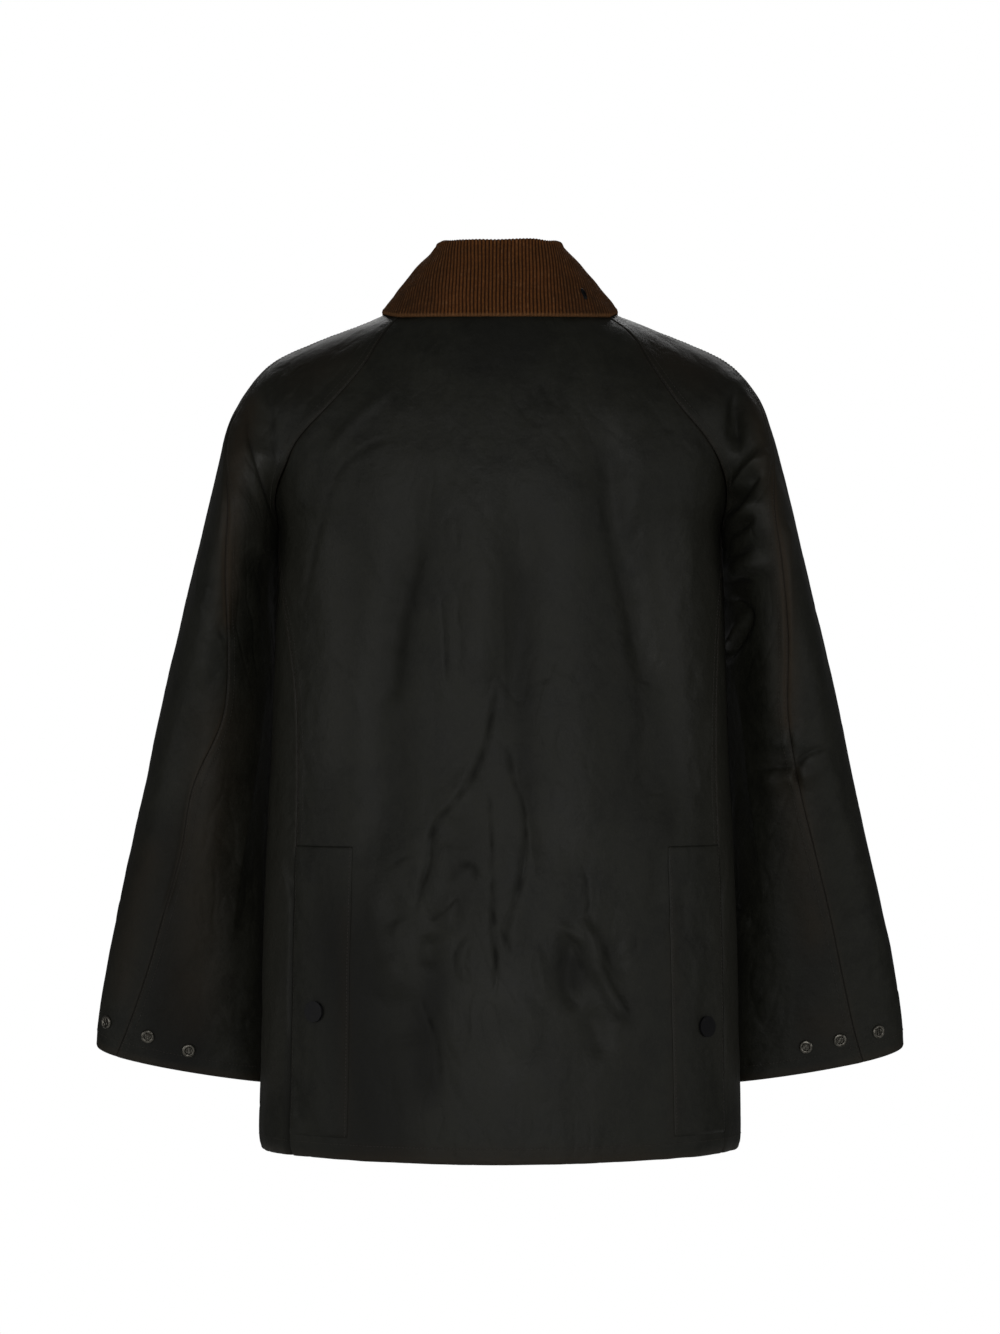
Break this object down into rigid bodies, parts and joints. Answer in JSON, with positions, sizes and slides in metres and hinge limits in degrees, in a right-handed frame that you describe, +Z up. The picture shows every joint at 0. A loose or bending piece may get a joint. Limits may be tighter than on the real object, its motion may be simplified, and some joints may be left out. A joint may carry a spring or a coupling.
{
  "type": "waxed cotton jacket",
  "caption": "Worn-form waxed cotton field jacket with raglan sleeves, a folded corduroy collar, a studded front fly, side-back vent plackets and studded open cuffs.",
  "frame": {"origin": "middle of the neck opening, level with the back neck seam, where the wearer's neck and shoulders carry the jacket", "axes": "+Z up along the body, -Y towards the jacket's front, +X towards the wearer's left sleeve"},
  "size_m": [0.7102, 0.2857, 0.7871],
  "materials": {
    "waxed_cotton": "waxed, soft low sheen",
    "corduroy": "matt cotton pile in vertical wales",
    "bright_metal": "worn nickel",
    "dark_metal": "dark satin"
  },
  "bodies": {
    "root": {"back": "waxed_cotton", "front_left": "waxed_cotton", "front_right": "waxed_cotton", "sleeve_left_back": "waxed_cotton", "sleeve_left_front": "waxed_cotton", "sleeve_right_back": "waxed_cotton", "sleeve_right_front": "waxed_cotton", "vent_placket_left": "waxed_cotton", "vent_placket_right": "waxed_cotton", "fly": "waxed_cotton", "collar": "corduroy", "collar_stud": "dark_metal", "cuff_stud_left_1": "bright_metal", "cuff_stud_left_2": "bright_metal", "cuff_stud_left_3": "bright_metal", "cuff_stud_right_1": "bright_metal", "cuff_stud_right_2": "bright_metal", "cuff_stud_right_3": "bright_metal", "fly_stud_1": "dark_metal", "fly_stud_2": "dark_metal", "fly_stud_3": "dark_metal", "fly_stud_4": "dark_metal", "fly_stud_5": "dark_metal", "vent_stud_left": "dark_metal", "vent_stud_right": "dark_metal"}
  },
  "joints": []
}
